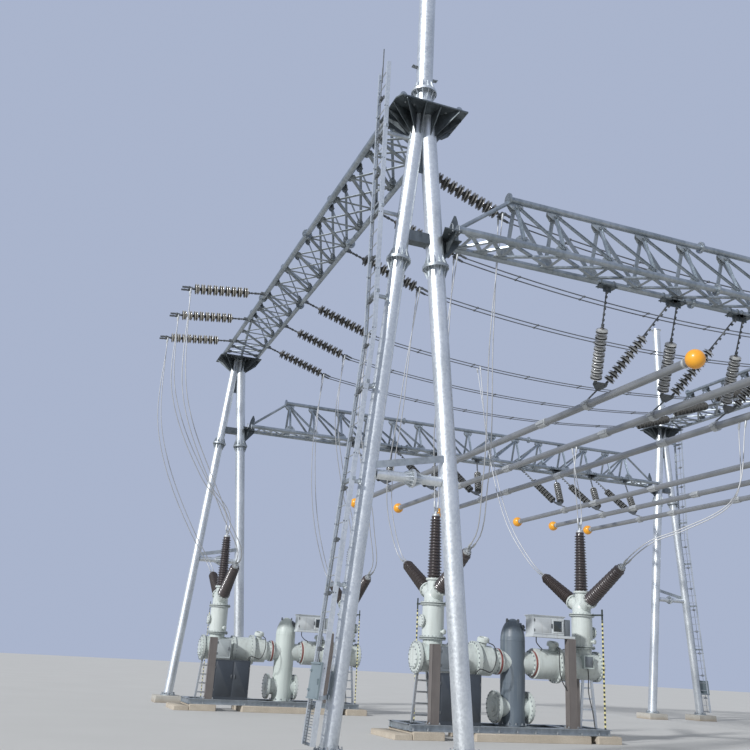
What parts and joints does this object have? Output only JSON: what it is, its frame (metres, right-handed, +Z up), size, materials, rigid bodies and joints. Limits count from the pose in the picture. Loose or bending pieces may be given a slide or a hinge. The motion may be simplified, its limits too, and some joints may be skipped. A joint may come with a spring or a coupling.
{
  "type": "substation switchgear bay",
  "caption": "Steel gantry bay of A frames and lattice beams with insulator strings and tube busbars, over gas-insulated switchgear modules with fanned bushings.",
  "frame": {"origin": "on the ground at the middle of the bay, below the centre of its four A frames", "axes": "+X along the bus beams, from the frame with the front ladder; +Y along the line beams, away from the front; +Z up"},
  "size_m": [26.2698, 20.4, 17.375],
  "materials": {
    "galvanised_tube": "hot-dip galvanised steel tube, bright with a faint spangle",
    "galvanised_plate": "galvanised steel plate, duller",
    "galvanised_bar": "galvanised steel angle and bar",
    "dark_steel": "dark weathered galvanised steel",
    "concrete": "cast concrete",
    "plinth_concrete": "cast concrete with dust",
    "line_porcelain": "grey-white glazed discs, darker below",
    "bus_porcelain": "grey glazed discs",
    "hardware": "galvanised fittings, weathered dark",
    "bus_aluminium": "drawn aluminium tube, dull",
    "orange_paint": "orange-yellow gloss paint",
    "clamp_aluminium": "cast aluminium, pale",
    "brown_paint": "brown-grey paint",
    "tank_paint": "pale grey-green gloss paint",
    "breaker_paint": "blue-grey satin paint",
    "cabinet_paint": "pale grey powder coat",
    "bushing_brown": "dark brown sheds",
    "striped_paint": "yellow and dark green stripes",
    "stranded_wire": "stranded aluminium conductor"
  },
  "bodies": {
    "root": {"leg_pedestals": "concrete", "leg_base_plates": "galvanised_tube", "front_left_legs": "galvanised_tube", "front_right_legs": "galvanised_tube", "rear_left_legs": "galvanised_tube", "rear_right_legs": "galvanised_tube", "leg_joint_collars": "galvanised_plate", "leg_cross_ties": "galvanised_tube", "tie_braces": "galvanised_plate", "head_plates": "galvanised_plate", "peak_masts": "galvanised_tube", "access_ladders": "galvanised_bar", "ladder_brackets": "dark_steel", "ladder_doors": "galvanised_plate", "beam_seats": "galvanised_plate", "left_beam_chords": "galvanised_tube", "left_beam_outer_side": "galvanised_bar", "left_beam_inner_side": "galvanised_bar", "left_beam_floor": "galvanised_bar", "right_beam_chords": "galvanised_tube", "right_beam_outer_side": "galvanised_bar", "right_beam_inner_side": "galvanised_bar", "right_beam_floor": "galvanised_bar", "front_beam_chords": "galvanised_tube", "front_beam_outer_side": "galvanised_bar", "front_beam_inner_side": "galvanised_bar", "front_beam_floor": "galvanised_bar", "rear_beam_chords": "galvanised_tube", "rear_beam_outer_side": "galvanised_bar", "rear_beam_inner_side": "galvanised_bar", "rear_beam_floor": "galvanised_bar", "beam_end_struts": "galvanised_bar", "line_insulators": "line_porcelain", "line_string_links": "hardware", "bus_insulators": "bus_porcelain", "bus_string_links": "hardware", "bus_tubes": "bus_aluminium", "bus_end_balls": "orange_paint", "bus_tube_clamps": "clamp_aluminium", "module_plinths": "plinth_concrete", "module_base_frames": "dark_steel", "module_posts": "brown_paint", "gas_tanks": "tank_paint", "risers": "tank_paint", "bushings": "bushing_brown", "bushing_terminals": "clamp_aluminium", "breaker_tanks": "breaker_paint", "breaker_drums": "tank_paint", "control_cabinets": "cabinet_paint", "mechanism_boxes": "breaker_paint", "end_trestles": "galvanised_bar", "earthing_bars": "striped_paint", "droppers": "stranded_wire", "span_conductors": "stranded_wire"}
  },
  "joints": []
}
